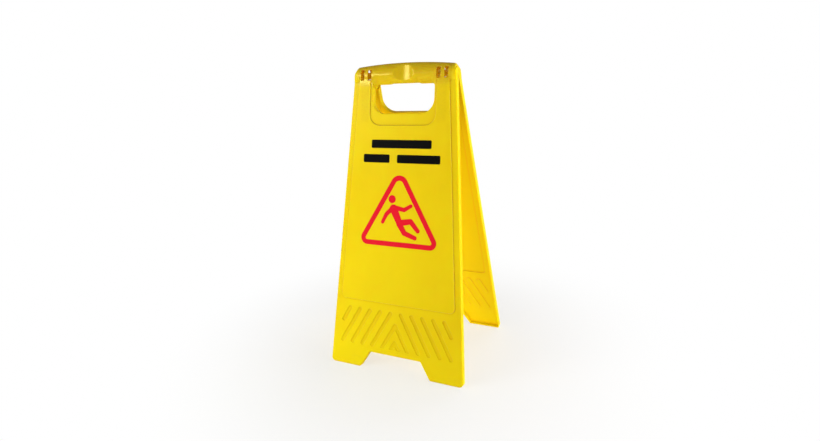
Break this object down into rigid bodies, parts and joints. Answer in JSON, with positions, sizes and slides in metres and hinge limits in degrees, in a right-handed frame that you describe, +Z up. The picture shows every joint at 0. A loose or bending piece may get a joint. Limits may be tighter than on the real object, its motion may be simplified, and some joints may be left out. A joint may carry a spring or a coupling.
{
  "type": "wet floor sign",
  "caption": "Free-standing A-frame floor warning sign: moulded panels hinged through a rounded top bar with a hand hole, folding flat.",
  "frame": {"origin": "on the floor, midway under the hinge axis", "axes": "+X along the hinge axis to the front panel's right, +Y towards the rear panel, +Z up"},
  "size_m": [0.2988, 0.2694, 0.6088],
  "materials": {
    "yellow_moulding": "satin moulded plastic",
    "pin_plastic": "satin",
    "red_print": "printed film",
    "black_print": "printed film"
  },
  "bodies": {
    "front": {"front_panel": "yellow_moulding", "front_triangle_border": "red_print", "front_figure_body": "red_print", "front_figure_head": "red_print", "front_word_bar_upper": "black_print", "front_word_bar_lower_left": "black_print", "front_word_bar_lower_right": "black_print", "hinge_pin_left": "pin_plastic", "hinge_pin_right": "pin_plastic"},
    "rear": {"rear_panel": "yellow_moulding", "rear_triangle_border": "red_print", "rear_figure_body": "red_print", "rear_figure_head": "red_print", "rear_word_bar_upper": "black_print", "rear_word_bar_lower_left": "black_print", "rear_word_bar_lower_right": "black_print"}
  },
  "joints": [
    {"name": "fold", "type": "hinge", "parent": "front", "child": "rear", "pos_m": [0, 0, 0.5858], "axis": [-1, 0, 0], "range_deg": [0, 23.5]}
  ]
}
